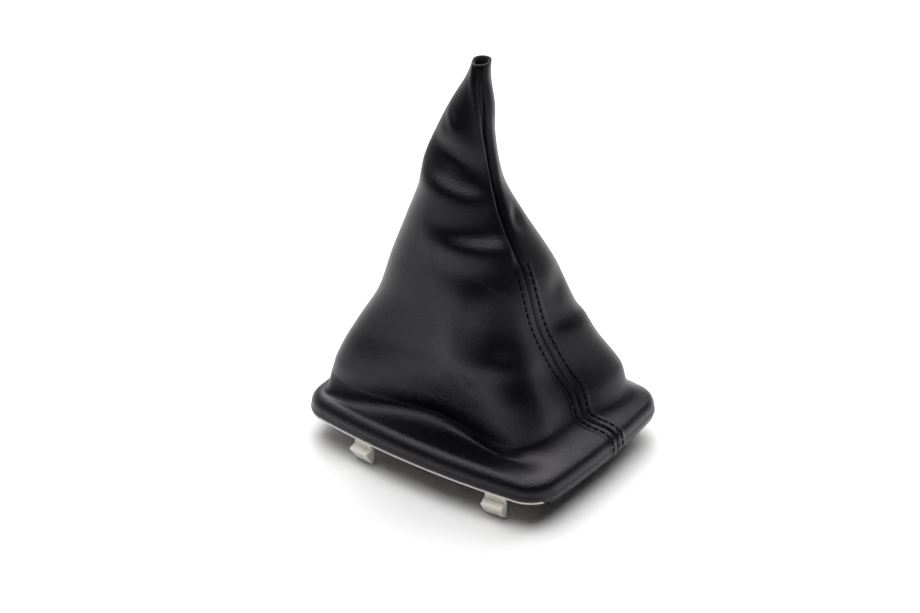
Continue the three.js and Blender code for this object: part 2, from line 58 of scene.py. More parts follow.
# Clip frame
CLIP_DROP = 13
WALL_HEIGHT = 9.3
WALL_THICKNESS = 2
FLANGE_WIDTH = 5
FLANGE_THICKNESS = 2
FLANGE_GAP = 0.15
LIP_THICKNESS = 1.3
CLIP_WIDTH = 11
CLIP_THICKNESS = 2
CLIP_NECK = 3.6
BARB_REACH = 3.8
BARB_SLOPE = 1.4
BARB_FACE = 0.8
CLIP_TIP = 1.2
CLIP_BEVEL = 0.25
CLIP_PLACES = (48, -31)

# Cover: rim, hem, valley behind the rim and boot
RIM_CURVE = 6.2
WALL_BULGE = 0.5
HEM_TURN = 1.7
HEM_WIDTH = 8
HEM_END = 44
VALLEY_SLOPE = 0.02
VALLEY_RUN = 1.2
VALLEY_LIFT = 1
VALLEY_LEAST = 12
FOOT_RISE = 10.2
FRONT_DROP = 8
FRONT_DROP_END = 12
FRONT_CREASE = 1
FOOT_INSET_X = 9
FOOT_INSET_Y = 11.8
BOOT_HEIGHT = 165.8
TIP_RADIUS = 5.2

# The tip is an oval, drawn out towards the seam from STRETCH_START percent up. The mesh's columns
# spread evenly between FAN_START and FAN_END percent up.
TIP_STRETCH = 0.16
STRETCH_START = 82
FAN_START = 47
FAN_END = 94

# At the seamed end the crest stops short of flat, in radians, from SHOULDER_START to SHOULDER_END
# along X
SHOULDER_TILT = 0.62
SHOULDER_START = 40
SHOULDER_END = 66

# Seam on the short side at +X. Up to TOPSTITCH_RISE it has stitched allowances, with a cord-like
# edge on each side of its groove and the leather pulled in at each stitch. Above is a deep pleat.
SEAM_PLACE = 8
GROOVE_DEPTH = 1.1
GROOVE_WIDTH = 0.7
ALLOWANCE = 7.5
ALLOWANCE_RISE = 0.25
ALLOWANCE_EDGE = 2
ALLOWANCE_FADE = 1
CORD_RISE = 0.1
CORD_PLACE = 2
CORD_WIDTH = 1.3
STITCH_ROW = 4.2
STITCH_SINK = 0.4
STITCH_SINK_WIDTH = 0.6
STITCH_PULL = 0.6
STITCH_PULL_CHANGE = 0.4
STITCH_PITCH = 3.7
THREAD_DIAMETER = 0.7
TOPSTITCH_RISE = 74
TOPSTITCH_UP = 100 * TOPSTITCH_RISE / BOOT_HEIGHT
PLEAT_WIDTH = 2.2
PLEAT_LIP = 1
PLEAT_LIP_PLACE = 3.5
PLEAT_DEPTH = [(TOPSTITCH_UP, 0), (TOPSTITCH_UP + 10, 2.2), (70, 4.2), (85, 3.4), (94, 1.2), (100, 0.7)]

# Sections of the boot: percent up it, lean of its middle towards -X and -Y, taper along X and Y
# from the foot (1) to the tip (0), and squareness (2 is an ellipse)
SECTIONS = [
    (0, 3.5, 1, 1, 7),
    (5, 3.2, 0.966, 0.999, 6),
    (16, 3.4, 0.827, 0.81, 4.5),
    (27, 3.5, 0.669, 0.716, 3.4),
    (40, 5, 0.543, 0.612, 2.8),
    (53, 7.8, 0.376, 0.471, 2.3),
    (63, 9.3, 0.258, 0.347, 2),
    (71, 9.8, 0.211, 0.268, 2),
    (80, 7.7, 0.141, 0.19, 2),
    (87, 4.8, 0.095, 0.121, 2),
    (95, 1.9, 0.022, 0.053, 2),
    (100, 0.3, 0, 0, 2),
]
LEAN_X = -0.8
LEAN_Y = -0.6

# How far the long side at -Y sags inward, by percent up, and what share of that each direction
# from +X takes, in degrees
FRONT_SAG = [(0, 20.5), (5, 18.3), (10, 12.7), (14, 9), (20, 6), (27, 4.5), (40, 2.5), (60, 0), (100, 0)]
FRONT_SAG_SPREAD = [
    (-180, 0), (-155, 0.05), (-135, 0.36), (-115, 0.66), (-75, 0.82), (-51, 0.84), (-37, 0.6),
    (-22, 0.15), (0, 0), (180, 0),
]

# How far the seamed end at +X sags inward, by percent up. The sag is deepest at END_SAG_TURN from
# the seam and fades with END_SAG_REACH, both in radians.
END_SAG = [(0, 5), (5, 8), (12, 10), (20, 8), (32, 3), (45, 0), (100, 0)]
END_SAG_TURN = -0.12
END_SAG_REACH = 0.42

# The seam's direction from the boot's middle, in degrees from +X, by percent up
SEAM_TURN = [
    (0, 2), (7, 3.4), (16, -1.8), (28, -9.4), (40, -11.6),
    (55, -7.3), (70, 0), (79, -6.6), (88, -24.4), (100, -59),
]

# Folds: kind, width in millimetres, and a path of points as degrees from the seam, percent up and
# rise in millimetres. A roll is a ridge, or a crease where its rise is negative. A step stands out
# below its path and sinks above it, like a slack fold that hangs over. Relief is worked out as far
# as FOLD_REACH widths from the path, and a step fades within STEP_REACH widths.
FOLD_STEPS = 16
FOLD_REACH = 4
STEP_REACH = 2.4
FOLDS = [
    ("roll", 2.5, [(-122, 87, 0), (-84, 84.5, 0.9), (-60, 80, 0)]),
    ("step", 7, [(-145, 70.5, 0), (-112, 69.5, 1.6), (-70, 67.5, 2.3), (-40, 65.5, 2.2), (-4, 64, 0)]),
    ("roll", 6, [(-150, 77, 0), (-95, 76, -2.8), (-60, 74, -3.2), (-8, 68.5, 0)]),
    ("step", 7, [(-100, 54, 0), (-66, 53, 1.4), (-42, 52.5, 2), (-20, 52, 1.7), (-1, 52, 0)]),
    ("roll", 8, [(-84, 45, 0), (-50, 43.5, -1.4), (-30, 44.5, -1.4), (-10, 46, 0)]),
    ("roll", 8, [(-74, 9, 0), (-68, 16, 1.4), (-57, 25, 1.9), (-43, 33, 1.6), (-30, 40, 0)]),
    ("roll", 6, [(-62, 12, 0), (-50, 16.5, 1.9), (-36, 19.5, 1.9), (-20, 20.5, 0)]),
    ("roll", 7, [(-62, 17, 0), (-50, 26, -2), (-38, 32, -1.8), (-24, 40, 0)]),
    ("step", 5, [(5, 23, 0), (22, 23.5, 0.6), (45, 23, 0.6), (70, 22, 0.3), (100, 21, 0)]),
    ("roll", 6, [(14, 33, 0), (30, 35, -0.9), (48, 38, 0)]),
    ("roll", 4, [(12, 52, 0), (20, 55, -1.2), (30, 59, 0)]),
    ("roll", 6, [(66, 64, 0), (95, 63, -2.4), (124, 60, 0)]),
    ("roll", 7, [(70, 58.5, 0), (100, 56, 2), (130, 53, 0)]),
    ("roll", 9, [(84, 37.5, 0), (115, 30, -2.6), (140, 19.5, 0)]),
    ("roll", 7, [(156, 52, 0), (178, 50, -2.4), (200, 47, 0)]),
    ("roll", 9, [(160, 30, 0), (182, 28.5, 2), (205, 26.5, 0)]),
    ("roll", 8, [(160, 19.5, 0), (178, 17.5, -2), (196, 15.5, 0)]),
]

# Camera, matched to the frame's outline in the photograph: millimetres and degrees
CAMERA_TURN = 36.28
CAMERA_RISE = 27.55
CAMERA_DISTANCE = 857
CAMERA_PIVOT = (0, 0, 100)
CAMERA_AIM = (-8.8, -6.5, 72.3)
CAMERA_ROLL = -0.38
CAMERA_LENS = 70


def place_camera():
    """The photograph's viewpoint, turned and raised from the front about CAMERA_PIVOT."""
    turn = math.radians(CAMERA_TURN)
    rise = math.radians(CAMERA_RISE)
    back = Vector((math.sin(turn) * math.cos(rise), -math.cos(turn) * math.cos(rise), math.sin(rise)))
    place = Vector(CAMERA_PIVOT) + CAMERA_DISTANCE * back
    look = (Vector(CAMERA_AIM) - place).to_track_quat("-Z", "Y")
    camera = bpy.data.objects.new("camera", bpy.data.cameras.new("camera"))
    camera.data.lens = CAMERA_LENS
    camera.data.clip_start = 0.05
    camera.data.clip_end = 20
    roll = Matrix.Rotation(math.radians(CAMERA_ROLL), 4, "Z")
    camera.matrix_world = Matrix.Translation(place * MM) @ look.to_matrix().to_4x4() @ roll
    bpy.context.scene.collection.objects.link(camera)
    bpy.context.scene.camera = camera


# Shape of the cover

def through(pairs):
    """A function that runs smoothly through pairs of place and value."""
    places = np.array([p for p, v in pairs], float)
    values = np.array([v for p, v in pairs], float)
    before = np.maximum(np.arange(len(pairs)) - 1, 0)
    after = np.minimum(np.arange(len(pairs)) + 1, len(pairs) - 1)
    slopes = (values[after] - values[before]) / (places[after] - places[before])

    def at(place):
        i = np.clip(np.searchsorted(places, place, side="left") - 1, 0, len(pairs) - 2)
        span = places[i + 1] - places[i]
        t = np.clip((place - places[i]) / span, 0, 1)
        return ((2 * t**3 - 3 * t**2 + 1) * values[i] + (t**3 - 2 * t**2 + t) * span * slopes[i]
                + (3 * t**2 - 2 * t**3) * values[i + 1] + (t**3 - t**2) * span * slopes[i + 1])
    return at


def smoothstep(value, low, high):
    t = np.clip((value - low) / (high - low), 0, 1)
    return t * t * (3 - 2 * t)


def hump(across, width):
    return np.exp(-(across / width) ** 2)


foot_length = LENGTH / 2 - FOOT_INSET_X
foot_width = WIDTH / 2 - FOOT_INSET_Y
lean_at = through([(s[0], s[1]) for s in SECTIONS])
half_length_at = through([(s[0], TIP_RADIUS + (foot_length - TIP_RADIUS) * s[2]) for s in SECTIONS])
half_width_at = through([(s[0], TIP_RADIUS + (foot_width - TIP_RADIUS) * s[3]) for s in SECTIONS])
squareness_at = through([(s[0], s[4]) for s in SECTIONS])
front_sag_at = through(FRONT_SAG)
front_spread_at = through(FRONT_SAG_SPREAD)
end_sag_at = through(END_SAG)
seam_turn_at = through(SEAM_TURN)
pleat_depth_at = through(PLEAT_DEPTH)


def make_outline():
    """The plan as four side arcs and four corner arcs: centre, radius, first angle, last angle."""
    long_centre = WIDTH / 2 - SIDE_RADIUS
    short_centre = LENGTH / 2 - SIDE_RADIUS
    apart = math.hypot(long_centre, short_centre)
    reach = math.sqrt((SIDE_RADIUS - CORNER_RADIUS) ** 2 - (apart / 2) ** 2)
    corner_x = short_centre / 2 - long_centre / apart * reach
    corner_y = long_centre / 2 - short_centre / apart * reach
    long_end = math.atan2(corner_x, corner_y - long_centre)
    short_end = math.atan2(corner_y, corner_x - short_centre)
    arcs = []
    for turn in range(4):
        on_short = turn % 2 == 0
        face = turn * math.pi / 2
        half = short_end if on_short else long_end
        following = long_end if on_short else short_end
        away = short_centre if on_short else long_centre
        sign_x = 1 if turn in (0, 3) else -1
        sign_y = 1 if turn < 2 else -1
        side = (away * math.cos(face), away * math.sin(face))
        corner = (corner_x * sign_x, corner_y * sign_y)
        arcs.append((*side, SIDE_RADIUS, face - half, face + half))
        arcs.append((*corner, CORNER_RADIUS, face + half, face + math.pi / 2 - following))
    return np.array(arcs)


outline = make_outline()
arc_lengths = outline[:, 2] * (outline[:, 4] - outline[:, 3])
arc_starts = np.concatenate([[0], np.cumsum(arc_lengths)])
perimeter = arc_starts[-1]


def outline_at(distance):
    """Points and outward directions at distances counterclockwise from the middle of the +X side."""
    rest = np.mod(distance + arc_lengths[0] / 2, perimeter)
    i = np.clip(np.searchsorted(arc_starts, rest, side="right") - 1, 0, len(outline) - 1)
    angle = outline[i, 3] + (rest - arc_starts[i]) / outline[i, 2]
    outward = np.stack([np.cos(angle), np.sin(angle)], -1)
    return outline[i, :2] + outward * outline[i, 2:3].reshape(*np.shape(i), 1), outward


hem_level = CLIP_DROP - CLEARANCE - LEATHER
crest_level = CLIP_DROP + WALL_HEIGHT + CLEARANCE + LEATHER
hem_run = HEM_WIDTH - HEM_TURN
turn_run = HEM_TURN * math.pi / 2
wall_run = crest_level - RIM_CURVE - hem_level - HEM_TURN
crest_run = RIM_CURVE * math.pi / 2
rim_run = hem_run + turn_run + wall_run + crest_run


def crest_tilt(point):
    """How far the crest turns over: flat on top, but leaving a slope up to the boot at the seamed end."""
    return math.pi / 2 - SHOULDER_TILT * smoothstep(point[..., 0], SHOULDER_START, SHOULDER_END)


def rim_section(run, end):
    """Inset, height and outward tilt along the rim, from the hem's edge to the crest's end."""
    tilt_turn = np.clip((run - hem_run) / HEM_TURN - math.pi / 2, -math.pi / 2, 0)
    up = np.clip(run - hem_run - turn_run, 0, wall_run)
    phase = math.pi * up / wall_run
    slope = WALL_BULGE * np.sin(2 * phase) * math.pi / wall_run
    tilt_crest = end * np.clip((run - hem_run - turn_run - wall_run) / crest_run, 0, 1)
    regions = [run < hem_run, run < hem_run + turn_run, run < hem_run + turn_run + wall_run]
    inset = np.select(regions, [
        HEM_WIDTH - run,
        HEM_TURN * (1 - np.cos(tilt_turn)),
        -WALL_BULGE * np.sin(phase) ** 2,
    ], RIM_CURVE * (1 - np.cos(tilt_crest)))
    height = np.select(regions, [
        hem_level + 0 * run,
        hem_level + HEM_TURN * (1 + np.sin(tilt_turn)),
        hem_level + HEM_TURN + up,
    ], crest_level - RIM_CURVE * (1 - np.sin(tilt_crest)))
    tilt = np.select(regions, [-math.pi / 2 + 0 * run, tilt_turn, -np.arctan(slope)], tilt_crest)
    return inset, height, tilt


seam_angle = math.atan2(SEAM_PLACE, LENGTH / 2)


def column_turn(distance, up):
    """Direction from the seam, in radians, of a column's point at a height on the boot."""
    point, _ = outline_at(distance + SEAM_PLACE)
    turn = np.arctan2(point[..., 1], point[..., 0]) - seam_angle
    turn = np.where((distance > 0) & (turn < -math.pi / 2), turn + 2 * math.pi, turn)
    turn = np.where((distance < 0) & (turn > math.pi / 2), turn - 2 * math.pi, turn)
    fan = np.sign(distance) * math.pi * np.sqrt(np.abs(distance) / (perimeter / 2))
    return turn + (fan - turn) * smoothstep(up, FAN_START, FAN_END)


def boot_radius(turn, up):
    """From the boot's middle to its face, without folds."""
    angle = np.radians(seam_turn_at(up)) + turn
    power = squareness_at(up)
    along_x = np.abs(np.cos(angle)) / half_length_at(up)
    along_y = np.abs(np.sin(angle)) / half_width_at(up)
    stretch = 1 + TIP_STRETCH * smoothstep(up, STRETCH_START, 100) * np.cos(2 * turn)
    sag = front_sag_at(up) * front_spread(angle)
    sag = sag + end_sag_at(up) * hump(turn - END_SAG_TURN, END_SAG_REACH)
    return stretch * (along_x**power + along_y**power) ** (-1 / power) - sag


def front_spread(angle):
    """1 where the front sags most, falling to 0 on the other sides."""
    return front_spread_at((np.degrees(angle) + 180) % 360 - 180)


def boot_point(turn, up):
    angle = np.radians(seam_turn_at(up)) + turn
    radius = boot_radius(turn, up)
    lean = lean_at(up)
    height = crest_level + FOOT_RISE + BOOT_HEIGHT * up / 100
    height = height - FRONT_DROP * front_spread(angle) * (1 - smoothstep(up, 0, FRONT_DROP_END))
    x = LEAN_X * lean + radius * np.cos(angle)
    y = LEAN_Y * lean + radius * np.sin(angle)
    return np.stack([x, y, height], -1)


def up_at(level):
    return 100 * np.maximum(level - 2, 0)


def smooth_point(distance, level):
    """The cover's face without folds. Level 0 to 1 is the rim, to 2 the valley, to 3 the boot."""
    distance, level = np.broadcast_arrays(distance, level)
    point, outward = outline_at(distance + SEAM_PLACE)
    end = crest_tilt(point)
    inset, height, _ = rim_section(np.minimum(level, 1) * rim_run, end)
    rim = np.concatenate([point - outward * inset[..., None], height[..., None]], -1)

    boot = boot_point(column_turn(distance, up_at(level)), up_at(level))

    t = np.clip(level - 1, 0, 1)[..., None]
    inset, height, _ = rim_section(rim_run + 0 * level, end)
    crest = np.concatenate([point - outward * inset[..., None], height[..., None]], -1)
    foot = boot_point(column_turn(distance, 0 * level), 0 * level)
    rise = boot_point(column_turn(distance, 0 * level + 1), 0 * level + 1) - foot
    rise /= np.linalg.norm(rise, axis=-1, keepdims=True)
    inward = (foot - crest) * np.array([1, 1, 0])
    inward /= np.linalg.norm(inward, axis=-1, keepdims=True)
    rise += FRONT_CREASE * front_spread(np.arctan2(foot[..., 1], foot[..., 0]))[..., None] * inward
    rise /= np.linalg.norm(rise, axis=-1, keepdims=True)
    lift = np.linalg.norm(crest - foot, axis=-1, keepdims=True)
    rise *= VALLEY_LIFT * np.maximum(lift, VALLEY_LEAST)
    run = np.concatenate([-outward * np.sin(end)[..., None], np.cos(end)[..., None] - VALLEY_SLOPE], -1)
    run *= VALLEY_RUN * np.linalg.norm((crest - foot)[..., :2], axis=-1, keepdims=True)
    valley = ((2 * t**3 - 3 * t**2 + 1) * crest + (t**3 - 2 * t**2 + t) * run
              + (3 * t**2 - 2 * t**3) * foot + (t**3 - t**2) * rise)
    return np.where(level[..., None] <= 1, rim, np.where(level[..., None] >= 2, boot, valley))


def seam_distance(distance, level):
    """Distance from the seam across the leather's face, in millimetres."""
    up = up_at(level)
    on_boot = column_turn(distance, up) * boot_radius(0 * distance, up)
    share = np.clip(level - 1, 0, 1)
    return distance + (on_boot - distance) * share


def fold_relief(turn, up):
    """How far all the folds together raise the boot's face, by direction and percent up."""
    turn, up = np.broadcast_arrays(turn, up)
    relief = np.zeros(turn.shape)
    for kind, width, path in FOLDS:
        stops = np.linspace(0, 1, len(path))
        degrees, percent, rise = [through(list(zip(stops, values))) for values in zip(*path)]
        along = np.linspace(0, 1, FOLD_STEPS)
        middle_degrees, middle_up, _ = path[len(path) // 2]
        radius = float(boot_radius(math.radians(middle_degrees), np.float64(middle_up)))
        x = np.radians(degrees(along)) * radius
        y = percent(along) * BOOT_HEIGHT / 100
        height = rise(along)
        for wrap in (-2 * math.pi, 0, 2 * math.pi):
            u = (turn + wrap) * radius
            v = up * BOOT_HEIGHT / 100
            reach = FOLD_REACH * width
            near = (u > x.min() - reach) & (u < x.max() + reach)
            near &= (v > y.min() - reach) & (v < y.max() + reach)
            if not near.any():
                continue
            u = u[near]
            v = v[near]
            nearest = np.full(u.shape, np.inf)
            level = np.zeros(u.shape)
            for i in range(FOLD_STEPS - 1):
                dx, dy = x[i + 1] - x[i], y[i + 1] - y[i]
                share = np.clip(((u - x[i]) * dx + (v - y[i]) * dy) / (dx * dx + dy * dy), 0, 1)
                distance = np.hypot(u - x[i] - share * dx, v - y[i] - share * dy)
                above = (v - y[i]) * dx - (u - x[i]) * dy
                distance = np.copysign(distance, above)
                closer = np.abs(distance) < np.abs(nearest)
                nearest = np.where(closer, distance, nearest)
                level = np.where(closer, height[i] + share * (height[i + 1] - height[i]), level)
            if kind == "step":
                nearest = nearest / width
                relief[near] -= 2 * level * nearest / (1 + nearest**2) * hump(nearest, STEP_REACH)
            else:
                relief[near] += level * hump(nearest, width)
    return relief


def pleat_relief(across, up):
    """The pleat beside the upper seam: a rolled lip on the left stands over a deep groove."""
    depth = np.where(up > TOPSTITCH_UP, pleat_depth_at(up), 0)
    lip = PLEAT_LIP * np.minimum(depth, 1) * hump(across + PLEAT_LIP_PLACE, PLEAT_WIDTH)
    return lip - depth * hump(across, PLEAT_WIDTH)


def normals(points, closed):
    """Outward directions of a grid of points, whose rows rise and whose columns go round."""
    if closed:
        aside = np.roll(points, -1, axis=1) - np.roll(points, 1, axis=1)
    else:
        aside = np.gradient(points, axis=1)
    normal = np.cross(aside, np.gradient(points, axis=0))
    return normal / np.linalg.norm(normal, axis=-1, keepdims=True)


seam_levels = np.linspace(0, 3, 1201)
seam_steps = np.linalg.norm(np.diff(smooth_point(0 * seam_levels, seam_levels), axis=0), axis=-1)
seam_lengths = np.concatenate([[0], np.cumsum(seam_steps)])
STITCH_TOP = float(np.interp(2 + TOPSTITCH_UP / 100, seam_levels, seam_lengths))


def stitch_phase(level):
    """How many stitches lie between the top of the topstitching and a level."""
    return (STITCH_TOP - np.interp(level, seam_levels, seam_lengths)) / STITCH_PITCH


def seam_relief(distance, level):
    """Raised allowances, their cords beside the groove, and the leather pulled in by stitches."""
    across = seam_distance(distance, level)
    fade_start = TOPSTITCH_UP - ALLOWANCE_FADE / 2
    stitched = 1 - smoothstep(up_at(level), fade_start, TOPSTITCH_UP + ALLOWANCE_FADE)
    band = ALLOWANCE_RISE * (1 - smoothstep(np.abs(across), ALLOWANCE - ALLOWANCE_EDGE, ALLOWANCE))
    cord = CORD_RISE * hump(np.abs(across) - CORD_PLACE, CORD_WIDTH)
    pull = STITCH_PULL - STITCH_PULL_CHANGE * np.cos(2 * math.pi * stitch_phase(level))
    sink = STITCH_SINK * pull * hump(np.abs(across) - STITCH_ROW, STITCH_SINK_WIDTH)
    return stitched * (band + cord - sink) - GROOVE_DEPTH * hump(across, GROOVE_WIDTH)


def cover_faces(distance, level, closed=True):
    """The leather's outer face, inner face and outward directions over a grid."""
    distance, level = np.broadcast_arrays(distance, level)
    up = up_at(level)
    relief = fold_relief(column_turn(distance, up), up) + pleat_relief(seam_distance(distance, level), up)
    smooth = smooth_point(distance, level)
    shaped = smooth + normals(smooth, closed) * (relief * np.clip(level - 1, 0, 1))[..., None]
    normal = normals(shaped, closed)
    outer = shaped + normal * seam_relief(distance, level)[..., None]
    return outer, shaped - normal * LEATHER, normal


# Building meshes

def build_mesh(name, points, faces, smooth=True):
    """A named piece from points in millimetres and the corners of its faces."""
    mesh = bpy.data.meshes.new(name)
    corners = [tuple(int(i) for i in face) for face in faces]
    mesh.from_pydata([tuple(p) for p in np.asarray(points) * MM], [], corners)
    mesh.validate()
    mesh.update()
    mesh.shade_smooth() if smooth else mesh.shade_flat()
    thing = bpy.data.objects.new(name, mesh)
    bpy.context.scene.collection.objects.link(thing)
    return thing


def grid_faces(rows, columns, rows_closed, columns_closed):
    """Quads over a grid of points, as an array of index rows."""
    row = np.arange(rows if rows_closed else rows - 1)[:, None]
    column = np.arange(columns if columns_closed else columns - 1)[None, :]
    next_row = (row + 1) % rows
    next_column = (column + 1) % columns
    corners = [row * columns + column, row * columns + next_column,
               next_row * columns + next_column, next_row * columns + column]
    return np.stack(np.broadcast_arrays(*corners), -1).reshape(-1, 4)


def spread(stops, steps):
    """Values from stop to stop, each span cut into its own number of equal steps."""
    values = [np.linspace(a, b, n, endpoint=False) for a, b, n in zip(stops, stops[1:], steps)]
    return np.append(np.concatenate(values), stops[-1])


HALF_WAY = perimeter / 2
LIP_TOP = CLIP_DROP + LIP_THICKNESS + CLEARANCE
HEM_CHANGE = 5
CUT_RUN = hem_run + turn_run + (LIP_TOP - hem_level - HEM_TURN)
FRAME_FACE = LEATHER + CLEARANCE


def lip_share(distance):
    """1 where the frame's lip shows below a trimmed hem, 0 where the hem turns under the frame."""
    point, _ = outline_at(distance)
    return smoothstep(np.abs(point[..., 1]), HEM_END, HEM_END + HEM_CHANGE)


# The grid of the leather: columns by distance from the seam, closest at the stitches, and rows by
# level, with more of them on the outer face than inside
near_seam = spread([0, 3, 6.5, 9, 20, HALF_WAY], [12, 14, 7, 12, 95])
columns = np.concatenate([-near_seam[:0:-1], near_seam[:-1]])
rim_stops = [0, hem_run, hem_run + turn_run, hem_run + turn_run + wall_run, rim_run]
rim_share = spread(rim_stops, [5, 5, 8, 7]) / rim_run
outer_levels = np.concatenate([rim_share[:-1], spread([1, 2, 2 + TOPSTITCH_UP / 100, 3], [26, 120, 95])])
inner_levels = np.concatenate([rim_share[:-1:2], spread([1, 2, 3], [8, 40])])


def trimmed(levels):
    """The levels of every column, with the rim's part squeezed up where the hem is trimmed."""
    start = CUT_RUN / rim_run * lip_share(columns + SEAM_PLACE)[None, :]
    level = levels[:, None]
    return np.where(level < 1, start + level * (1 - start), level)


def build_cover():
    """The leather as one closed sheet: its outer face, then its knitted back."""
    outer, _, _ = cover_faces(columns[None, :], trimmed(outer_levels))
    _, inner, _ = cover_faces(columns[None, :], trimmed(inner_levels))
    points = np.concatenate([outer, inner[::-1]])
    faces = grid_faces(*points.shape[:2], True, True)
    cover = build_mesh("leather_boot", points.reshape(-1, 3), faces)
    inside = np.zeros(len(faces), int)
    inside[(len(outer) - 1) * len(columns):] = 1
    cover.data.materials.append(leatherette)
    cover.data.materials.append(knit_backing)
    cover.data.polygons.foreach_set("material_index", inside)
    return cover


# The frame's edges are rounded over EDGE, by way of a point EDGE_CUT in from both faces, and its
# crest by way of a point that share of its radius in.
EDGE = 0.35
EDGE_CUT = 0.1
CREST_CUT = 0.3
FRAME_PLACES = 360


def build_frame():
    """The ring that the leather is stretched over, its lip below a trimmed hem, and the snap clips."""
    top = CLIP_DROP + WALL_HEIGHT - FLANGE_GAP
    inner = FRAME_FACE + WALL_THICKNESS
    crest = RIM_CURVE - FRAME_FACE
    flange_end = FRAME_FACE + FLANGE_WIDTH
    flange_below = top - FLANGE_THICKNESS
    lip_top = CLIP_DROP + LIP_THICKNESS
    places = np.linspace(0, perimeter, FRAME_PLACES, endpoint=False)
    point, outward = outline_at(places)
    lip = FRAME_FACE * (1 - lip_share(places))
    rows = [
        (inner - EDGE, CLIP_DROP),
        (lip + EDGE, CLIP_DROP),
        (lip + EDGE_CUT, CLIP_DROP + EDGE_CUT),
        (lip, CLIP_DROP + EDGE),
        (lip, lip_top - EDGE),
        (lip + EDGE_CUT, lip_top - EDGE_CUT),
        (lip + EDGE, lip_top),
        (FRAME_FACE + EDGE_CUT, lip_top + EDGE_CUT),
        (FRAME_FACE, lip_top + EDGE),
        (FRAME_FACE, top - crest),
        (FRAME_FACE + CREST_CUT * crest, top - CREST_CUT * crest),
        (FRAME_FACE + crest, top),
        (flange_end - EDGE, top),
        (flange_end, top - EDGE),
        (flange_end, flange_below + EDGE),
        (flange_end - EDGE, flange_below),
        (inner + EDGE, flange_below),
        (inner, flange_below - EDGE),
        (inner, CLIP_DROP + EDGE),
    ]
    points = []
    for inset, height in rows:
        flat = point - outward * np.broadcast_to(inset, places.shape)[:, None]
        points.append(np.concatenate([flat, np.full((len(places), 1), height)], -1))
    faces = grid_faces(len(rows), len(places), True, True)[:, ::-1]
    ring = build_mesh("moulded_frame", np.concatenate(points), faces)
    ring.data.materials.append(moulded_plastic)
    for side in (-1, 1):
        for place in CLIP_PLACES:
            join(ring, build_clip(place, side))
    return ring


def join(whole, part):
    """Joins a part into the whole as one closed solid."""
    union = whole.modifiers.new("union", "BOOLEAN")
    union.operation = "UNION"
    union.solver = "EXACT"
    union.object = part
    apply_modifiers(whole)
    bpy.data.objects.remove(part)


def apply_modifiers(thing):
    """Gives a piece the mesh that its modifiers make."""
    depsgraph = bpy.context.evaluated_depsgraph_get()
    mesh = bpy.data.meshes.new_from_object(thing.evaluated_get(depsgraph))
    thing.modifiers.clear()
    thing.data = mesh


def build_clip(place, side):
    """A snap clip: a flat leg with a wedge-shaped barb that faces outward."""
    face = FRAME_FACE + CLEARANCE
    barb_top = CLIP_DROP - CLIP_NECK
    profile = [
        (face + CLIP_THICKNESS, CLIP_DROP + LIP_THICKNESS / 2),
        (face + CLIP_THICKNESS, 0),
        (face + CLIP_THICKNESS - CLIP_TIP, 0),
        (face - BARB_REACH, barb_top - BARB_SLOPE - BARB_FACE),
        (face - BARB_REACH, barb_top - BARB_SLOPE),
        (face, barb_top),
        (face, CLIP_DROP + LIP_THICKNESS / 2),
    ]
    on_side = WIDTH / 2 - SIDE_RADIUS + math.sqrt(SIDE_RADIUS**2 - place**2)
    lean = math.asin(place / SIDE_RADIUS)
    outward = np.array([math.sin(lean), side * math.cos(lean)])
    along = np.array([outward[1], -outward[0]])
    points = []
    for end in (-CLIP_WIDTH / 2, CLIP_WIDTH / 2):
        for inset, height in profile:
            flat = np.array([place, side * on_side]) - outward * inset + along * end
            points.append((*flat, height))
    count = len(profile)
    faces = [tuple(range(count)), tuple(range(2 * count - 1, count - 1, -1))]
    faces += [(i, i + count, (i + 1) % count + count, (i + 1) % count) for i in range(count)]
    clip = build_mesh("clip", points, faces, smooth=False)
    shape = bmesh.new()
    shape.from_mesh(clip.data)
    bmesh.ops.recalc_face_normals(shape, faces=shape.faces)
    shape.to_mesh(clip.data)
    shape.free()
    bevel = clip.modifiers.new("bevel", "BEVEL")
    bevel.width = CLIP_BEVEL * MM
    bevel.segments = 2
    clip.data.materials.append(moulded_plastic)
    apply_modifiers(clip)
    return clip


# The thread lies STITCH_RISE above the leather and dips by STITCH_DIP at each hole. It starts down
# at STITCH_SHARE of a stitch from its middle.
THREAD_SIDES = 10
THREAD_STEPS = 1400
STITCH_RISE = 0.2
STITCH_DIP = 0.9
STITCH_SHARE = 0.36
STITCH_BEND = 0.1

# The row's place is found in a few rounds, because columns spread with height, and its outward
# direction comes from a narrow strip of leather.
ROW_ROUNDS = 8
STRIP_HALF = 0.3


def stitch_path(distance, level):
    """Points on the leather and their outward directions, along one line of the cover."""
    strip = distance[:, None] + np.array([-STRIP_HALF, 0, STRIP_HALF])
    outer, _, normal = cover_faces(strip, level[:, None], closed=False)
    return outer[:, 1], normal[:, 1]


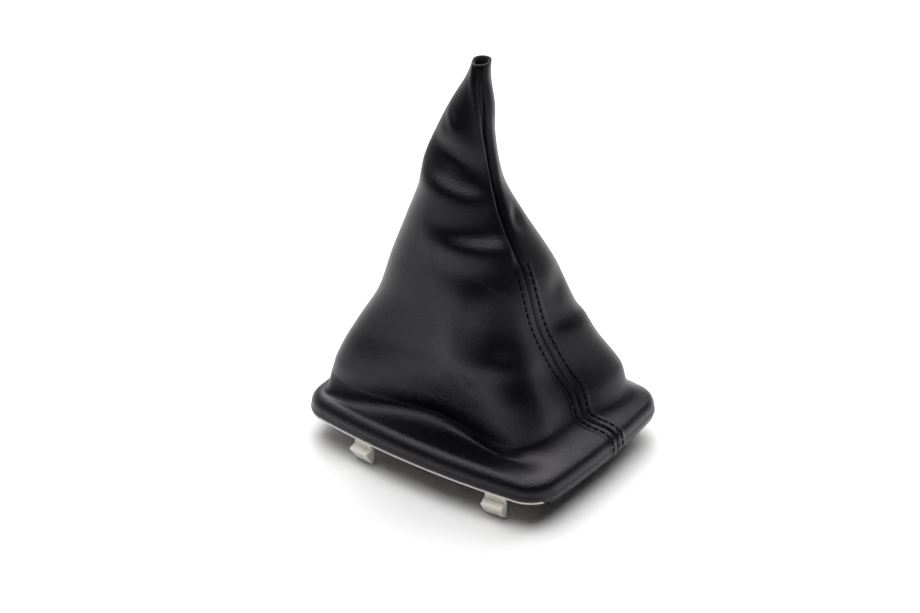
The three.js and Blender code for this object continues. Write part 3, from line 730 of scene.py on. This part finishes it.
def build_stitches(name, across):
    """One row of topstitching: a thread that dips through the leather at every stitch hole."""
    level = np.linspace((hem_run + turn_run) / rim_run, 2 + TOPSTITCH_UP / 100, THREAD_STEPS)
    distance = np.full(level.shape, float(across))
    for _ in range(ROW_ROUNDS):
        distance = distance * across / seam_distance(distance, level)
    path, normal = stitch_path(distance, level)
    phase = stitch_phase(level)
    from_middle = np.abs(phase - np.floor(phase) - 0.5)
    dip = smoothstep(from_middle, STITCH_SHARE - STITCH_BEND, STITCH_SHARE + STITCH_BEND)
    middle = path + normal * (STITCH_RISE - STITCH_DIP * dip)[:, None]
    along = np.gradient(middle, axis=0)
    along /= np.linalg.norm(along, axis=1, keepdims=True)
    aside = np.cross(along, normal)
    aside /= np.linalg.norm(aside, axis=1, keepdims=True)
    up = np.cross(aside, along)
    turn = np.linspace(0, 2 * math.pi, THREAD_SIDES, endpoint=False)
    ring = aside[:, None] * np.cos(turn)[None, :, None] + up[:, None] * np.sin(turn)[None, :, None]
    points = (middle[:, None] + ring * THREAD_DIAMETER / 2).reshape(-1, 3)
    faces = [tuple(f) for f in grid_faces(len(level), THREAD_SIDES, False, True)]
    last = len(points) - THREAD_SIDES
    faces += [tuple(range(THREAD_SIDES))[::-1], tuple(range(last, last + THREAD_SIDES))]
    stitches = build_mesh(name, points, faces)
    stitches.data.materials.append(sewing_thread)
    return stitches


# Materials

def linear(hex_colour):
    """A web colour as linear RGBA."""
    parts = [int(hex_colour[i:i + 2], 16) / 255 for i in (1, 3, 5)]
    return (*[c / 12.92 if c <= 0.04045 else ((c + 0.055) / 1.055) ** 2.4 for c in parts], 1)


def add_node(tree, kind, inputs=None, **settings):
    """A new node with its settings. Each input takes a value, or a socket to link from."""
    node = tree.nodes.new(kind)
    for name, value in settings.items():
        setattr(node, name, value)
    for name, value in (inputs or {}).items():
        if isinstance(value, bpy.types.NodeSocket):
            tree.links.new(value, node.inputs[name])
        else:
            node.inputs[name].default_value = value
    return node


def new_material(name, colour, roughness, ior=1.5):
    material = bpy.data.materials.new(name)
    material.use_nodes = True
    shader = material.node_tree.nodes["Principled BSDF"]
    shader.inputs["Base Color"].default_value = linear(colour)
    shader.inputs["Roughness"].default_value = roughness
    shader.inputs["IOR"].default_value = ior
    return material, material.node_tree, shader


def add_bump(tree, shader, height, strength, depth):
    """A relief of a depth in millimetres on a finish."""
    inputs = {"Height": height, "Strength": strength, "Distance": depth * MM}
    bump = add_node(tree, "ShaderNodeBump", inputs)
    tree.links.new(bump.outputs["Normal"], shader.inputs["Normal"])


# Real sizes of the finishes' patterns, in millimetres
GRAIN_SIZE = 0.75
PORE_SIZE = 0.3
KNIT_SIZE = 1.2
SKIN_SIZE = 2
TWIST_SIZE = 0.5


def make_leatherette():
    """Fine pebbled black vinyl with a soft broad gloss, which has a faint violet cast."""
    material, tree, shader = new_material("black_leatherette", "#08080b", 0.31, 1.42)
    place = add_node(tree, "ShaderNodeTexCoord").outputs["Object"]
    shader.inputs["Specular Tint"].default_value = linear("#fbf5ff")
    pebbles = {"Vector": place, "Scale": 1 / (GRAIN_SIZE * MM), "Randomness": 1.0}
    cells = add_node(tree, "ShaderNodeTexVoronoi", pebbles).outputs["Distance"]
    holes = {"Vector": place, "Scale": 1 / (PORE_SIZE * MM), "Detail": 2.0}
    pores = add_node(tree, "ShaderNodeTexNoise", holes).outputs["Fac"]
    grain = add_node(tree, "ShaderNodeMath", {0: cells, 1: pores}, operation="ADD")
    add_bump(tree, shader, grain.outputs[0], 0.8, 0.12)
    return material


def make_knit():
    """The leatherette's cloth backing, a dull dark grey with fine ribs."""
    material, tree, shader = new_material("knit_backing", "#141415", 0.9)
    place = add_node(tree, "ShaderNodeTexCoord").outputs["Object"]
    ribs = {"Vector": place, "Scale": 1 / (KNIT_SIZE * MM), "Distortion": 2.0}
    weave = add_node(tree, "ShaderNodeTexWave", ribs)
    add_bump(tree, shader, weave.outputs["Fac"], 0.5, 0.1)
    return material


def make_plastic():
    """Ivory moulded plastic with the faint unevenness of a moulded skin."""
    material, tree, shader = new_material("ivory_plastic", "#f1ede4", 0.38, 1.53)
    place = add_node(tree, "ShaderNodeTexCoord").outputs["Object"]
    unevenness = {"Vector": place, "Scale": 1 / (SKIN_SIZE * MM), "Detail": 3.0}
    skin = add_node(tree, "ShaderNodeTexNoise", unevenness)
    add_bump(tree, shader, skin.outputs["Fac"], 0.2, 0.05)
    return material


def make_thread():
    """Black sewing thread, whose twist breaks its sheen."""
    material, tree, shader = new_material("black_thread", "#030303", 0.9, 1.2)
    place = add_node(tree, "ShaderNodeTexCoord").outputs["Object"]
    twist = add_node(tree, "ShaderNodeTexWave", {"Vector": place, "Scale": 1 / (TWIST_SIZE * MM)})
    add_bump(tree, shader, twist.outputs["Fac"], 0.6, 0.08)
    return material


def make_floor():
    """Matt white paper with a barely seen mottle."""
    material, tree, shader = new_material("white_floor", "#f7f7f7", 0.9)
    place = add_node(tree, "ShaderNodeTexCoord").outputs["Object"]
    mottle = add_node(tree, "ShaderNodeTexNoise", {"Vector": place, "Scale": 20.0})
    shades = {"Value": mottle.outputs["Fac"], "To Min": 0.9, "To Max": 0.92}
    tone = add_node(tree, "ShaderNodeMapRange", shades)
    tree.links.new(tone.outputs["Result"], shader.inputs["Base Color"])
    return material


# Studio

FLOOR_SIZE = 6000

# The room's light brightens from ROOM_LEVEL to SWEEP_LEVEL towards SWEEP_DIRECTION.
SWEEP_DIRECTION = (-0.8, 0.53, 0.28)
SWEEP_START = 0.1
SWEEP_END = 0.9
SWEEP_LEVEL = 0.6
ROOM_LEVEL = 0.02

# Softboxes: place, aim and size in millimetres, and power in watts
SOFTBOXES = (
    ((-60, 60, 680), (0, 0, 0), 800, 6.3),
    ((-800, 900, 1000), (-500, 700, 0), 900, 14),
    ((300, 880, 900), (60, 0, 20), 520, 3.9),
)


def build_floor():
    half = FLOOR_SIZE / 2
    corners = [(-half, -half, 0), (half, -half, 0), (half, half, 0), (-half, half, 0)]
    floor = build_mesh("floor", corners, [(0, 1, 2, 3)])
    floor.data.materials.append(white_floor)


def light_studio():
    """A bright sweep behind and above, falling off to a dim room on the near side."""
    world = bpy.data.worlds.new("studio")
    world.use_nodes = True
    tree = world.node_tree
    background = tree.nodes["Background"]
    direction = add_node(tree, "ShaderNodeTexCoord").outputs["Generated"]
    both = {0: direction, 1: SWEEP_DIRECTION}
    facing = add_node(tree, "ShaderNodeVectorMath", both, operation="DOT_PRODUCT")
    level = add_node(tree, "ShaderNodeMapRange", {
        "Value": facing.outputs["Value"], "From Min": SWEEP_START, "From Max": SWEEP_END,
        "To Min": ROOM_LEVEL, "To Max": SWEEP_LEVEL}, interpolation_type="SMOOTHSTEP")
    tree.links.new(level.outputs["Result"], background.inputs["Strength"])
    background.inputs["Color"].default_value = (1, 1, 1, 1)
    bpy.context.scene.world = world
    for place, aim, size, power in SOFTBOXES:
        lamp = bpy.data.lights.new("softbox", "AREA")
        lamp.shape = "SQUARE"
        lamp.size = size * MM
        lamp.energy = power
        softbox = bpy.data.objects.new("softbox", lamp)
        turn = (Vector(aim) - Vector(place)).to_track_quat("-Z", "Y")
        softbox.matrix_world = Matrix.Translation(Vector(place) * MM) @ turn.to_matrix().to_4x4()
        bpy.context.scene.collection.objects.link(softbox)
    bpy.context.scene.view_settings.view_transform = "Standard"


leatherette = make_leatherette()
knit_backing = make_knit()
moulded_plastic = make_plastic()
sewing_thread = make_thread()
white_floor = make_floor()

place_camera()
light_studio()
build_floor()

boot = build_cover()
ring = build_frame()
left_row = build_stitches("left_stitches", -STITCH_ROW)
right_row = build_stitches("right_stitches", STITCH_ROW)

for thing, node, finish, slot in (
    (boot, "gaiter_cover", leatherette, "leatherette"),
    (ring, "clip_frame", moulded_plastic, "moulded_frame"),
    (left_row, "topstitch_left", sewing_thread, "sewing_thread"),
    (right_row, "topstitch_right", sewing_thread, "sewing_thread"),
):
    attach(thing, "root")
    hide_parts(node)
    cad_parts[node].data.materials.clear()
    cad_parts[node].data.materials.append(finish)
